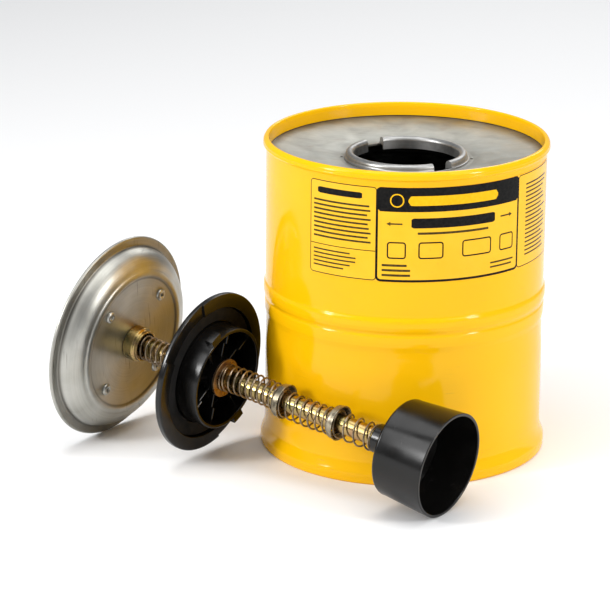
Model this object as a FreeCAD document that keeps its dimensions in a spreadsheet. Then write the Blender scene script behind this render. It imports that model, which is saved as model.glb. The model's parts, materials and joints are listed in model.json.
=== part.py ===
import FreeCAD, Part
import math
import os
import Sketcher

# A one gallon plunger can for dispensing solvent, with its pump lifted out and lying beside it.
# Row frame: +Z up, Z = 0 is the floor, X = Y = 0 is the centre of the footprint of can and pump together.
# The can is drawn about its own axis, from its base. The pump is drawn standing on its foot cup,
# about its own axis, and is then laid down so that its pan rim and its cup mouth rest on the floor.

SIZES = {
    # can: painted shell with its two rolled chimes and its two beads
    "can_radius": 90.1,
    "can_inside": 89.3,
    "lower_body_radius": 89.65,
    "base_chime_radius": 93.0,
    "base_chime_height": 14.0,
    "base_foot_outer": 92.0,
    "top_chime_radius": 91.9,
    "top_chime_inside": 88.0,
    "top_chime_foot": 199.6,
    "can_height": 205.1,
    "bead_foot": 88.0,
    "small_bead_middle": 94.5,
    "small_bead_radius": 90.7,
    "bead_crease": 99.8,
    "crease_radius": 90.3,
    "large_bead_middle": 104.8,
    "large_bead_radius": 91.4,
    "bead_top": 110.5,
    "taper_foot": 66.0,
    "seam_proud": 0.7,
    "seam_angle": 4.0,
    "seam_turn": 110.0,
    # plates that close the can
    "plate_sheet": 0.8,
    "base_plate_height": 6.8,
    "base_skirt_foot": 1.5,
    "top_plate_edge": 196.0,
    "top_plate_neck": 190.4,
    "top_plate_slope_end": 43.0,
    "drain_hole_radius": 1.1,
    "drain_hole_circle": 41.6,
    # neck ring with its rolled lip and two bayonet notches
    "neck_radius": 34.0,
    "neck_wall": 1.1,
    "neck_foot": 187.6,
    "neck_seat": 191.2,
    "neck_flange_radius": 40.2,
    "neck_hole_radius": 38.8,
    "lip_middle": 36.6,
    "lip_outer": 39.1,
    "lip_centre_height": 193.0,
    "lip_top": 195.4,
    "notch_outer": 38.5,
    "notch_angle": 20.5,
    "notch_turn": -63.5,
    # label
    "label_outer": 90.35,
    "label_inner": 90.12,
    "label_foot": 134.5,
    "label_height": 60.9,
    "label_angle": 122.0,
    "label_turn": -131.0,
    # where the pump lies: plan position of the lid's middle from the can axis, and its heading
    "pump_from_can_x": -122.7,
    "pump_from_can_y": -43.3,
    "pump_heading": 146.5,
    # foot cup
    "mouth_radius": 34.0,
    "mouth_inside": 32.0,
    "cup_shoulder_radius": 31.1,
    "cup_shoulder_height": 35.2,
    "cup_top_radius": 29.6,
    "cup_top": 36.8,
    "cup_ceiling": 34.8,
    "cup_ceiling_radius": 28.9,
    "nose_radius": 9.5,
    "nose_fillet": 11.4,
    "nose_fillet_top": 38.9,
    "nose_top": 54.0,
    # tube, piston and check ball
    "tube_radius": 6.0,
    "tube_bore": 4.4,
    "tube_foot": 28.5,
    "tube_top": 257.0,
    "running_bore": 6.06,
    "free_bore": 6.45,
    "piston_radius": 28.2,
    "piston_foot": 27.0,
    "piston_disc_top": 29.5,
    "piston_hub_radius": 9.0,
    "piston_hub_top": 34.2,
    "inlet_radius": 2.6,
    "ball_radius": 3.2,
    "ball_height": 30.4,
    "pin_radius": 0.8,
    "pin_height": 37.6,
    "pin_length": 11.6,
    # springs and guide washers along the tube
    "wire": 1.25,
    "spring_radius": 8.5,
    "upper_spring_radius": 7.7,
    "washer_sheet": 1.0,
    "low_washer_top": 86.5,
    "high_washer_top": 129.0,
    "washer_depth": 5.0,
    "washer_flat_radius": 10.0,
    "washer_rim_radius": 11.6,
    "low_spring_turns": 5.5,
    "middle_spring_turns": 8.5,
    "high_spring_turns": 10.5,
    "upper_spring_turns": 11.5,
    # lid with its collar, ribs, lugs and bush
    "lid_washer_radius": 12.7,
    "lid_washer_foot": 172.6,
    "lid_washer_top": 174.2,
    "collar_foot": 171.0,
    "collar_radius": 33.6,
    "collar_inside": 31.3,
    "lid_seat": 184.0,
    "lid_recess": 185.2,
    "lid_band_inside": 44.0,
    "lid_radius": 53.2,
    "lid_face_radius": 52.3,
    "lid_rim_height": 187.0,
    "lid_groove_ceiling": 188.0,
    "lid_ceiling": 189.0,
    "lid_shoulder": 189.6,
    "lid_crown_radius": 30.0,
    "lid_crown": 191.8,
    "lid_hub_radius": 12.4,
    "lid_hub_top": 196.0,
    "bush_radius": 8.6,
    "bush_flange_radius": 11.0,
    "bush_top": 198.0,
    "seat_washer_top": 199.0,
    "rib_thickness": 1.6,
    "rib_foot": 178.5,
    "rib_count": 8,
    "rib_turn": 8.0,
    "lug_outer": 38.0,
    "lug_top": 176.6,
    "lug_angle": 14.0,
    "lug_turn": 144.5,
    "cam_angle": 130.0,
    "cam_turn": 162.0,
    "gasket_inside": 34.6,
    "gasket_outside": 43.3,
    "gasket_foot": 186.3,
    # dasher pan, its screen, rivets and hub
    "pan_radius": 67.8,
    "pan_rim_height": 262.5,
    "pan_sheet": 1.0,
    "pan_flat_radius": 61.9,
    "pan_flat_height": 261.3,
    "pan_step_height": 258.6,
    "pan_bowl_radius": 56.4,
    "pan_bowl_height": 250.9,
    "pan_bead_radius": 46.6,
    "pan_bead_height": 247.3,
    "pan_disc_radius": 43.8,
    "pan_disc_height": 248.5,
    "screen_sheet": 0.8,
    "screen_height": 254.8,
    "screen_flat_radius": 41.5,
    "screen_radius": 60.0,
    "screen_rim_height": 259.8,
    "screen_hole_radius": 1.6,
    "screen_hole_spacing": 7.6,
    "screen_bore": 10.2,
    "rivet_circle": 36.4,
    "rivet_head_radius": 3.5,
    "rivet_head": 0.9,
    "rivet_shank": 1.7,
    "rivet_turn": 42.0,
    "spacer_radius": 3.0,
    "hub_radius": 11.5,
    "hub_step": 241.5,
    "hub_lip_radius": 10.2,
    "hub_lip_step": 240.3,
    "hub_foot": 238.0,
    "hub_pocket_radius": 9.0,
    "hub_pocket_top": 244.0,
    "nut_washer_radius": 10.0,
    "nut_washer_top": 250.4,
    "nut_flats": 17.0,
    "nut_top": 254.2,
}

doc = FreeCAD.newDocument("plunger_can")
sheet = doc.addObject("Spreadsheet::Sheet", "Sizes")
for row, (alias, value) in enumerate(SIZES.items(), start=1):
    sheet.set(f"A{row}", alias)
    sheet.set(f"B{row}", str(value))
    sheet.setAlias(f"B{row}", alias)
doc.recompute()


def words(text):
    """The signed words of a sum such as 'lid_seat - pan_sheet'."""
    sign = 1
    for word in text.split():
        if word in "+-":
            sign = 1 if word == "+" else -1
        else:
            yield sign, word


def amount(text):
    """The number that a sum of sheet names and numbers stands for."""
    return sum(sign * (SIZES[word] if word in SIZES else float(word)) for sign, word in words(text))


def bound(text):
    """The same sum as an expression on the sheet."""
    return " ".join(
        ("+ " if sign > 0 else "- ") + (f"Sizes.{word}" if word in SIZES else word) for sign, word in words(text)
    ).removeprefix("+ ")


def plane(body, role):
    """One of a body's own origin planes or axes."""
    return next(feature for feature in body.Origin.OriginFeatures if feature.Role == role)


def draw_outline(sketch, corners):
    """A closed outline. A corner is (x, y), or (x, y, via) where an arc through via leads to it."""
    spots = [(amount(corner[0]), amount(corner[1])) for corner in corners]
    count = len(corners)
    arcs = {}
    for index in range(count):
        start = FreeCAD.Vector(*spots[index], 0)
        following = (index + 1) % count
        end = FreeCAD.Vector(*spots[following], 0)
        if len(corners[following]) == 3:
            arcs[index] = corners[following][2]
            via = FreeCAD.Vector(amount(arcs[index][0]), amount(arcs[index][1]), 0)
            anticlockwise = (via - start).cross(end - start).z > 0
            sketch.addGeometry(Part.Arc(start, via, end) if anticlockwise else Part.Arc(end, via, start))
        else:
            sketch.addGeometry(Part.LineSegment(start, end))
    starts = [start_point(sketch.Geometry[index], spots[index]) for index in range(count)]
    for index in range(count):
        hold(sketch, index, starts[index], corners[index][:2])
    for index, via in arcs.items():
        spot = sketch.addGeometry(Part.Point(FreeCAD.Vector(amount(via[0]), amount(via[1]), 0)), True)
        hold(sketch, spot, 1, via)
        sketch.addConstraint(Sketcher.Constraint("PointOnObject", spot, 1, index))
    for index in range(count):
        following = (index + 1) % count
        sketch.addConstraint(
            Sketcher.Constraint("Coincident", index, 3 - starts[index], following, starts[following])
        )


def hold(sketch, index, point, spot):
    """Hold a point of the sketch at its place from the sheet, or on the axis."""
    across, up = spot
    if amount(across) == 0:
        sketch.addConstraint(Sketcher.Constraint("PointOnObject", index, point, -2))
    else:
        fix(sketch, "DistanceX", index, point, amount(across), bound(across))
    if amount(up) == 0:
        sketch.addConstraint(Sketcher.Constraint("PointOnObject", index, point, -1))
    else:
        fix(sketch, "DistanceY", index, point, amount(up), bound(up))


def start_point(edge, spot):
    """1 if the edge starts at the spot, and 2 if it is an arc that runs the other way round."""
    return 1 if edge.StartPoint.distanceToPoint(FreeCAD.Vector(*spot, 0)) < 1e-6 else 2


def fix(sketch, kind, index, point, value, expression):
    """Hold one coordinate of a point at a size from the sheet."""
    number = sketch.addConstraint(Sketcher.Constraint(kind, -1, 1, index, point, value))
    sketch.setExpression(f"Constraints[{number}]", expression)


def outline_sketch(body, name, corners, turn=0.0):
    """An outline in the body's radius and height plane, turned about the axis by a number of degrees."""
    sketch = body.newObject("Sketcher::SketchObject", name + "_outline")
    sketch.AttachmentSupport = [(plane(body, "XZ_Plane"), "")]
    sketch.MapMode = "FlatFace"
    sketch.AttachmentOffset = FreeCAD.Placement(
        FreeCAD.Vector(0, 0, 0), FreeCAD.Rotation(FreeCAD.Vector(0, 1, 0), turn)
    )
    draw_outline(sketch, corners)
    doc.recompute()
    return sketch


def turned(name, corners):
    """A body turned all round from its outline of radius and height."""
    body = doc.addObject("PartDesign::Body", name)
    add_turn(body, name + "_turning", corners)
    return body


def add_turn(body, name, corners, angle=None, start=0.0, kind="Revolution"):
    """Turn an outline about the body's axis, all round or through an angle from the sheet."""
    sketch = outline_sketch(body, name, corners, start)
    turn = body.newObject("PartDesign::" + kind, name)
    turn.Profile = sketch
    turn.ReferenceAxis = (sketch, ["V_Axis"])
    turn.Angle = 360 if angle is None else amount(angle)
    if angle is not None:
        turn.setExpression("Angle", bound(angle))
    doc.recompute()
    return turn


def repeat_round(body, feature, count):
    """Repeat a feature evenly about the body's axis."""
    pattern = body.newObject("PartDesign::PolarPattern", feature.Name + "_round")
    pattern.Originals = [feature]
    pattern.Axis = (plane(body, "Z_Axis"), [""])
    pattern.Angle = 360
    pattern.Occurrences = count
    body.Tip = pattern
    doc.recompute()
    return pattern


def ring(name, inside, outside, foot, top):
    """A plain washer or tube: a body of two radii and two heights."""
    return turned(name, [(inside, foot), (outside, foot), (outside, top), (inside, top)])


def can_shell():
    """Painted shell: base chime, two rolled beads, top chime and the folded side seam."""
    bulge = [
        ("lower_body_radius", "bead_foot"),
        ("crease_radius", "bead_crease", ("small_bead_radius", "small_bead_middle")),
        ("can_radius", "bead_top", ("large_bead_radius", "large_bead_middle")),
    ]
    body = turned("can_shell", [
        ("can_inside", "0"),
        ("base_foot_outer", "0"),
        ("base_chime_radius", "2.6", ("base_chime_radius - 0.3", "0.8")),
        ("can_radius", "base_chime_height", ("can_radius + 0.9", "base_chime_height - 5")),
        ("can_radius", "taper_foot"),
        ("lower_body_radius", "bead_foot - 6"),
        *bulge,
        ("can_radius", "top_chime_foot"),
        ("top_chime_radius", "top_chime_foot + 2", ("top_chime_radius - 0.5", "top_chime_foot + 0.6")),
        ("top_chime_radius - 2", "can_height", ("top_chime_radius - 0.5", "can_height - 0.8")),
        ("top_chime_inside", "can_height - 1.6", ("top_chime_inside + 0.5", "can_height - 0.4")),
        ("top_chime_inside", "top_plate_edge"),
        ("can_inside", "top_plate_edge"),
    ])
    seam = [
        ("can_inside + 0.2", "base_chime_height + 2"),
        ("can_radius + seam_proud", "base_chime_height + 2"),
        ("can_radius + seam_proud", "taper_foot"),
        ("lower_body_radius + seam_proud", "bead_foot - 6"),
        ("lower_body_radius + seam_proud", "bead_foot"),
        ("large_bead_radius + 0.3", "bead_crease"),
        ("large_bead_radius + 0.3", "large_bead_middle"),
        ("can_radius + seam_proud", "bead_top"),
        ("can_radius + seam_proud", "top_chime_foot - 1"),
        ("can_inside + 0.2", "top_chime_foot - 1"),
    ]
    add_turn(body, "side_seam", seam, "seam_angle", amount("seam_turn"))
    return body


def bottom_plate():
    """Flat base with its skirt turned down inside the chime."""
    return turned("bottom_plate", [
        ("0", "base_plate_height - plate_sheet"),
        ("can_inside - 1.2", "base_plate_height - plate_sheet"),
        ("can_inside - 1.2", "base_skirt_foot"),
        ("can_inside", "base_skirt_foot"),
        ("can_inside", "base_plate_height"),
        ("0", "base_plate_height"),
    ])


def top_plate():
    """Bare steel top, dished towards the neck, with a drain hole on each side of it."""
    body = turned("top_plate", [
        ("neck_hole_radius", "top_plate_neck - plate_sheet"),
        ("top_plate_slope_end", "top_plate_neck - plate_sheet"),
        ("top_chime_inside", "top_plate_edge - plate_sheet"),
        ("top_chime_inside", "top_plate_edge"),
        ("top_plate_slope_end", "top_plate_neck"),
        ("neck_hole_radius", "top_plate_neck"),
    ])
    sketch = circle_sketch(body, "drain", "drain_hole_circle", "drain_hole_radius", 0.0)
    repeat_round(body, pocket_through(body, "drain_hole", sketch), 2)
    return body


def circle_sketch(body, name, across, radius, turn):
    """One circle in the body's base plane, at a distance from the axis."""
    sketch = body.newObject("Sketcher::SketchObject", name + "_circle")
    sketch.AttachmentSupport = [(plane(body, "XY_Plane"), "")]
    sketch.MapMode = "FlatFace"
    sketch.AttachmentOffset = FreeCAD.Placement(
        FreeCAD.Vector(0, 0, 0), FreeCAD.Rotation(FreeCAD.Vector(0, 0, 1), turn)
    )
    middle = FreeCAD.Vector(amount(across), 0, 0)
    sketch.addGeometry(Part.Circle(middle, FreeCAD.Vector(0, 0, 1), amount(radius)))
    sketch.addConstraint(Sketcher.Constraint("PointOnObject", 0, 3, -1))
    fix(sketch, "DistanceX", 0, 3, amount(across), bound(across))
    number = sketch.addConstraint(Sketcher.Constraint("Radius", 0, amount(radius)))
    sketch.setExpression(f"Constraints[{number}]", bound(radius))
    doc.recompute()
    return sketch


def pocket_through(body, name, sketch):
    """Cut a sketch's shape through the whole body, both ways."""
    before = body.Shape.Volume
    pocket = body.newObject("PartDesign::Pocket", name)
    pocket.Profile = sketch
    pocket.Type = "ThroughAll"
    pocket.Midplane = True
    doc.recompute()
    if body.Shape.Volume >= before:
        raise RuntimeError(f"{name} cuts nothing")
    return pocket


def neck_ring():
    """Neck wall with its rolled lip and welding flange, cut through by two bayonet notches."""
    body = turned("neck_ring", [
        ("neck_radius", "neck_foot"),
        ("neck_radius + neck_wall", "neck_foot"),
        ("neck_radius + neck_wall", "top_plate_neck"),
        ("neck_flange_radius", "top_plate_neck"),
        ("neck_flange_radius", "neck_seat"),
        ("lip_outer", "lip_centre_height", ("lip_outer + 0.1", "neck_seat + 0.7")),
        ("lip_middle", "lip_top", ("lip_outer - 0.7", "lip_top - 0.7")),
        ("neck_radius", "lip_centre_height", ("neck_radius + 0.7", "lip_top - 0.7")),
    ])
    before = body.Shape.Volume
    notch = add_turn(body, "bayonet_notch", [
        ("neck_radius - 1", "neck_foot - 1"),
        ("notch_outer", "neck_foot - 1"),
        ("notch_outer", "neck_seat - 0.3"),
        ("neck_flange_radius + 1", "neck_seat - 0.3"),
        ("neck_flange_radius + 1", "lip_top + 1"),
        ("neck_radius - 1", "lip_top + 1"),
    ], "notch_angle", amount("notch_turn"), "Groove")
    if body.Shape.Volume >= before:
        raise RuntimeError("the bayonet notch cuts nothing")
    repeat_round(body, notch, 2)
    return body


def sector_sleeve(name, outer, inner, height, angle):
    """Part of a thin sleeve: a larger sector of a cylinder less a smaller one."""
    larger = doc.addObject("Part::Cylinder", name + "_outside")
    smaller = doc.addObject("Part::Cylinder", name + "_inside")
    for cylinder, radius in ((larger, outer), (smaller, inner)):
        cylinder.setExpression("Radius", bound(radius))
        cylinder.setExpression("Height", bound(height))
    larger.setExpression("Angle", bound(angle))
    sleeve = doc.addObject("Part::Cut", name)
    sleeve.Base = larger
    sleeve.Tool = smaller
    return sleeve


def foot_cup():
    """Bell that stands on the can's base, with the nose that guides the tube."""
    return turned("foot_cup", [
        ("mouth_inside", "0"),
        ("mouth_radius", "0"),
        ("cup_shoulder_radius", "cup_shoulder_height"),
        ("cup_top_radius", "cup_top", ("cup_top_radius + 1.1", "cup_top - 0.4")),
        ("nose_fillet", "cup_top"),
        ("nose_radius", "nose_fillet_top", ("nose_radius + 0.6", "nose_fillet_top - 1.5")),
        ("nose_radius", "nose_top - 0.8"),
        ("nose_radius - 0.8", "nose_top"),
        ("running_bore", "nose_top"),
        ("running_bore", "cup_ceiling"),
        ("cup_ceiling_radius", "cup_ceiling"),
    ])


def pump_tube():
    """Brass tube with a cross hole for the ball stop pin."""
    body = ring("pump_tube", "tube_bore", "tube_radius", "tube_foot", "tube_top")
    sketch = body.newObject("Sketcher::SketchObject", "cross_hole_circle")
    sketch.AttachmentSupport = [(plane(body, "XZ_Plane"), "")]
    sketch.MapMode = "FlatFace"
    middle = FreeCAD.Vector(0, amount("pin_height"), 0)
    sketch.addGeometry(Part.Circle(middle, FreeCAD.Vector(0, 0, 1), amount("pin_radius")))
    sketch.addConstraint(Sketcher.Constraint("PointOnObject", 0, 3, -2))
    fix(sketch, "DistanceY", 0, 3, amount("pin_height"), bound("pin_height"))
    number = sketch.addConstraint(Sketcher.Constraint("Radius", 0, amount("pin_radius")))
    sketch.setExpression(f"Constraints[{number}]", bound("pin_radius"))
    doc.recompute()
    pocket_through(body, "cross_hole", sketch)
    return body


def pump_piston():
    """Disc on the tube's foot that drives liquid out of the bell and up the tube."""
    return turned("pump_piston", [
        ("inlet_radius", "piston_foot"),
        ("piston_radius", "piston_foot"),
        ("piston_radius", "piston_disc_top"),
        ("piston_hub_radius", "piston_disc_top"),
        ("piston_hub_radius", "piston_hub_top"),
        ("tube_radius", "piston_hub_top"),
        ("tube_radius", "tube_foot"),
        ("inlet_radius", "tube_foot"),
    ])


def check_ball():
    """Loose ball over the inlet at the tube's foot."""
    ball = doc.addObject("Part::Sphere", "check_ball")
    ball.setExpression("Radius", bound("ball_radius"))
    return ball


def ball_stop_pin():
    """Cross pin that keeps the ball near its seat."""
    pin = doc.addObject("Part::Cylinder", "ball_stop_pin")
    pin.setExpression("Radius", bound("pin_radius"))
    pin.setExpression("Height", bound("pin_length"))
    return pin


def coil_spring(name, radius, foot, top, turns):
    """Round wire wound from one seat to the other, as tilted half turns that meet smoothly: a Part feature."""
    wire = amount("wire")
    halves = round(2 * amount(turns))
    rise = (amount(top) - amount(foot) - wire) / halves
    lengths = []
    for index in range(halves):
        side = 1 if index % 2 == 0 else -1
        level = amount(foot) + wire / 2 + index * rise
        start = FreeCAD.Vector(side * amount(radius), 0, level)
        centre = FreeCAD.Vector(0, 0, level + rise / 2)
        axis = (start - centre).cross(FreeCAD.Vector(0, side, 0))
        section = Part.Face(Part.Wire(Part.makeCircle(wire / 2, start, FreeCAD.Vector(0, side, 0))))
        lengths.append(section.revolve(centre, axis, 180))
    spring = doc.addObject("Part::Feature", name)
    spring.Shape = lengths[0].fuse(lengths[1:])
    return spring


def guide_washer(name, top):
    """Dished washer that centres the ends of two springs; its open side faces the foot cup."""
    return turned(name, [
        ("free_bore", top + " - washer_sheet"),
        ("washer_flat_radius - 0.6", top + " - washer_sheet"),
        ("washer_rim_radius - washer_sheet", top + " - washer_depth"),
        ("washer_rim_radius", top + " - washer_depth"),
        ("washer_flat_radius", top),
        ("free_bore", top),
    ])


def lid():
    """Moulded lid: flange with two cam sectors, seal groove, collar with two lugs, ribs and hub."""
    body = turned("lid", [
        ("bush_radius", "lid_washer_top"),
        ("lid_hub_radius", "lid_washer_top"),
        ("lid_hub_radius", "lid_ceiling"),
        ("collar_inside", "lid_ceiling"),
        ("collar_inside", "collar_foot"),
        ("collar_radius", "collar_foot"),
        ("collar_radius", "lid_groove_ceiling"),
        ("lid_band_inside", "lid_groove_ceiling"),
        ("lid_band_inside", "lid_recess"),
        ("lid_face_radius", "lid_recess"),
        ("lid_radius", "lid_recess + 0.9", ("lid_radius - 0.25", "lid_recess + 0.25")),
        ("lid_radius", "lid_rim_height"),
        ("lid_face_radius", "lid_shoulder - 1", ("lid_radius - 0.2", "lid_rim_height + 0.9")),
        ("lid_crown_radius", "lid_crown - 0.6", ("lid_face_radius - 9", "lid_shoulder + 0.6")),
        ("bush_flange_radius + 5", "lid_crown"),
        ("bush_flange_radius + 1.5", "lid_hub_top", ("bush_flange_radius + 2.4", "lid_hub_top - 2")),
        ("bush_radius", "lid_hub_top"),
    ])
    cam = add_turn(body, "flange_cam", [
        ("lid_band_inside", "lid_seat"),
        ("lid_face_radius", "lid_seat"),
        ("lid_radius", "lid_seat + 0.9", ("lid_radius - 0.25", "lid_seat + 0.25")),
        ("lid_radius", "lid_recess + 1.2"),
        ("lid_band_inside", "lid_recess + 1.2"),
    ], "cam_angle", amount("cam_turn"))
    repeat_round(body, cam, 2)
    lug = add_turn(body, "bayonet_lug", [
        ("collar_radius - 0.5", "collar_foot"),
        ("lug_outer", "collar_foot"),
        ("lug_outer", "lug_top"),
        ("collar_radius - 0.5", "lug_top"),
    ], "lug_angle", amount("lug_turn"))
    repeat_round(body, lug, 2)
    sketch = outline_sketch(body, "rib", [
        ("lid_hub_radius - 0.5", "rib_foot"),
        ("lid_hub_radius + 9", "rib_foot"),
        ("lid_hub_radius + 10", "rib_foot - 2"),
        ("collar_inside + 0.5", "rib_foot - 2"),
        ("collar_inside + 0.5", "lid_ceiling + 0.5"),
        ("lid_hub_radius - 0.5", "lid_ceiling + 0.5"),
    ], amount("rib_turn"))
    rib = body.newObject("PartDesign::Pad", "lid_rib")
    rib.Profile = sketch
    rib.Midplane = True
    rib.setExpression("Length", bound("rib_thickness"))
    doc.recompute()
    repeat_round(body, rib, int(amount("rib_count")))
    return body


def lid_bush():
    """Flanged brass bush that the tube slides through."""
    return turned("lid_bush", [
        ("running_bore", "lid_washer_top"),
        ("bush_radius - 0.05", "lid_washer_top"),
        ("bush_radius - 0.05", "lid_hub_top + 0.05"),
        ("bush_flange_radius", "lid_hub_top + 0.05"),
        ("bush_flange_radius", "bush_top"),
        ("running_bore", "bush_top"),
    ])


def dasher_pan():
    """Spun steel pan: rolled rim, step, bowl, bead and flat centre."""
    return turned("dasher_pan", [
        ("tube_radius + 0.1", "pan_disc_height"),
        ("pan_disc_radius", "pan_disc_height"),
        ("pan_bead_radius", "pan_bead_height", ("pan_bead_radius - 1.6", "pan_bead_height + 0.3")),
        ("pan_flat_radius - 0.9", "pan_step_height", ("pan_bowl_radius", "pan_bowl_height")),
        ("pan_flat_radius", "pan_flat_height"),
        ("pan_radius - 1.1", "pan_flat_height"),
        ("pan_radius", "pan_rim_height", ("pan_radius - 0.3", "pan_rim_height - 0.8")),
        ("pan_radius - 1.1", "pan_rim_height + 1.2", ("pan_radius - 0.3", "pan_rim_height + 0.9")),
        ("pan_radius - 2.2", "pan_flat_height + pan_sheet"),
        ("pan_flat_radius - 1", "pan_flat_height + pan_sheet"),
        ("pan_flat_radius - 2", "pan_step_height + 0.5"),
        ("pan_bead_radius", "pan_bead_height + pan_sheet", ("pan_bowl_radius - 0.7", "pan_bowl_height + 0.9")),
        ("pan_disc_radius", "pan_disc_height + pan_sheet"),
        ("tube_radius + 0.1", "pan_disc_height + pan_sheet"),
    ])


def screen_rings():
    """Radius and number of holes of each ring of the perforated screen, clear of the rivets."""
    circle = amount("screen_bore") + amount("screen_hole_spacing") * 0.75
    while circle < amount("screen_radius") - amount("screen_hole_spacing") * 0.5:
        if abs(circle - amount("rivet_circle")) > amount("rivet_head_radius"):
            yield circle, int(2 * math.pi * circle / amount("screen_hole_spacing"))
        circle += amount("screen_hole_spacing") * 0.92


def dasher_screen():
    """Perforated screen over the pan: the flame arrester, in rings of holes."""
    body = turned("dasher_screen", [
        ("screen_bore", "screen_height"),
        ("screen_flat_radius", "screen_height"),
        ("screen_radius", "screen_rim_height"),
        ("screen_radius", "screen_rim_height + screen_sheet"),
        ("screen_flat_radius", "screen_height + screen_sheet"),
        ("screen_bore", "screen_height + screen_sheet"),
    ])
    for number, (circle, count) in enumerate(screen_rings()):
        name = f"screen_ring_{number}"
        sketch = circle_sketch(body, name, f"{circle:.2f}", "screen_hole_radius", 0.0)
        repeat_round(body, pocket_through(body, name + "_hole", sketch), count)
    return body


def around(name, piece, count):
    """Copies of one loose piece, evenly spaced round the pump's axis, as separate solids in one node."""
    solids = []
    for index in range(count):
        copy = piece.copy()
        turn = FreeCAD.Rotation(FreeCAD.Vector(0, 0, 1), amount("rivet_turn") + index * 360 / count)
        spot = turn.multVec(FreeCAD.Vector(amount("rivet_circle"), 0, 0))
        copy.Placement = FreeCAD.Placement(spot, FreeCAD.Rotation())
        solids.append(copy)
    group = doc.addObject("Part::Feature", name)
    group.Shape = Part.makeCompound(solids)
    return group


def pan_rivets():
    """Four tubular rivets with a rolled head under the pan and a flat one over the screen."""
    under = amount("pan_disc_height")
    over = amount("screen_height") + amount("screen_sheet")
    head = amount("rivet_head")
    shank = amount("rivet_shank")
    hollow = Part.makeCylinder(shank * 0.55, head * 3, FreeCAD.Vector(0, 0, under - head))
    lower = Part.makeCone(amount("rivet_head_radius") * 0.72, amount("rivet_head_radius"), head)
    lower.translate(FreeCAD.Vector(0, 0, under - head))
    upper = Part.makeCylinder(amount("spacer_radius"), head * 0.8, FreeCAD.Vector(0, 0, over))
    stem = Part.makeCylinder(shank, over - under + head, FreeCAD.Vector(0, 0, under - head * 0.5))
    return around("pan_rivets", lower.fuse([upper, stem]).cut(hollow).removeSplitter(), 4)


def pan_spacers():
    """Four short sleeves that hold the screen above the pan's centre."""
    foot = amount("pan_disc_height") + amount("pan_sheet")
    height = amount("screen_height") - foot
    sleeve = Part.makeCylinder(amount("spacer_radius"), height, FreeCAD.Vector(0, 0, foot))
    bore = Part.makeCylinder(amount("rivet_shank") + 0.05, height, FreeCAD.Vector(0, 0, foot))
    return around("pan_spacers", sleeve.cut(bore), 4)


def drill_for_rivets(body, name):
    """Four clearance holes for the rivets' shanks."""
    sketch = circle_sketch(body, name, "rivet_circle", "rivet_shank + 0.05", amount("rivet_turn"))
    repeat_round(body, pocket_through(body, name + "_hole", sketch), 4)


def hub_ferrule():
    """Plated collar under the pan with a pocket for the end of the upper spring."""
    return turned("hub_ferrule", [
        ("tube_radius + 0.05", "hub_pocket_top"),
        ("hub_pocket_radius", "hub_pocket_top"),
        ("hub_pocket_radius", "hub_foot"),
        ("hub_lip_radius", "hub_foot"),
        ("hub_lip_radius", "hub_lip_step"),
        ("hub_radius", "hub_step"),
        ("hub_radius", "pan_disc_height"),
        ("tube_radius + 0.05", "pan_disc_height"),
    ])


def outlet_nut():
    """Hexagon nut that clamps the pan and its hub on the tube."""
    prism = doc.addObject("Part::Prism", "outlet_nut_hexagon")
    prism.Polygon = 6
    prism.setExpression("Circumradius", bound("nut_flats") + " / sqrt(3)")
    prism.setExpression("Height", bound("nut_top - nut_washer_top"))
    bore = doc.addObject("Part::Cylinder", "outlet_nut_bore")
    bore.setExpression("Radius", bound("tube_radius + 0.05"))
    bore.setExpression("Height", bound("nut_top - nut_washer_top"))
    nut = doc.addObject("Part::Cut", "outlet_nut")
    nut.Base = prism
    nut.Tool = bore
    return nut


def pump_frame():
    """Where the pump lies from the can's axis: pan rim and cup mouth both touch the floor."""
    drop = amount("pan_radius - mouth_radius")
    tilt = math.atan2(drop, amount("pan_rim_height"))
    turn = FreeCAD.Rotation(amount("pump_heading"), 90 - math.degrees(tilt), 0)
    along = turn.multVec(FreeCAD.Vector(0, 0, 1))
    lid_middle = amount("lid_seat")
    foot = FreeCAD.Vector(
        amount("pump_from_can_x") - along.x * lid_middle,
        amount("pump_from_can_y") - along.y * lid_middle,
        amount("mouth_radius") * math.cos(tilt),
    )
    return FreeCAD.Placement(foot, turn)


def footprint_middle(frame):
    """The middle of the floor area that can and lying pump cover, from the can's axis."""
    along = frame.Rotation.multVec(FreeCAD.Vector(0, 0, 1))
    pan = frame.multVec(FreeCAD.Vector(0, 0, amount("pan_rim_height")))
    mouth = frame.Base
    chime = amount("base_chime_radius")
    west = pan.x - amount("pan_radius") * math.sqrt(1 - along.x ** 2)
    south = mouth.y - amount("mouth_radius") * math.sqrt(1 - along.y ** 2)
    return FreeCAD.Vector((west + chime) / 2, (south + chime) / 2, 0)


def raised(height, rotation=None):
    """A placement along a piece's own axis."""
    return FreeCAD.Placement(FreeCAD.Vector(0, 0, amount(height)), rotation or FreeCAD.Rotation())


pump_from_can = pump_frame()
middle = footprint_middle(pump_from_can)
can_place = FreeCAD.Placement(-middle, FreeCAD.Rotation())
pump_place = can_place.multiply(pump_from_can)

label = sector_sleeve("label", "label_outer", "label_inner", "label_height", "label_angle")
label_place = raised("label_foot", FreeCAD.Rotation(FreeCAD.Vector(0, 0, 1), amount("label_turn")))
can_pieces = [
    (can_shell(), raised("0")),
    (bottom_plate(), raised("0")),
    (top_plate(), raised("0")),
    (neck_ring(), raised("0")),
    (label, label_place),
]

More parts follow.
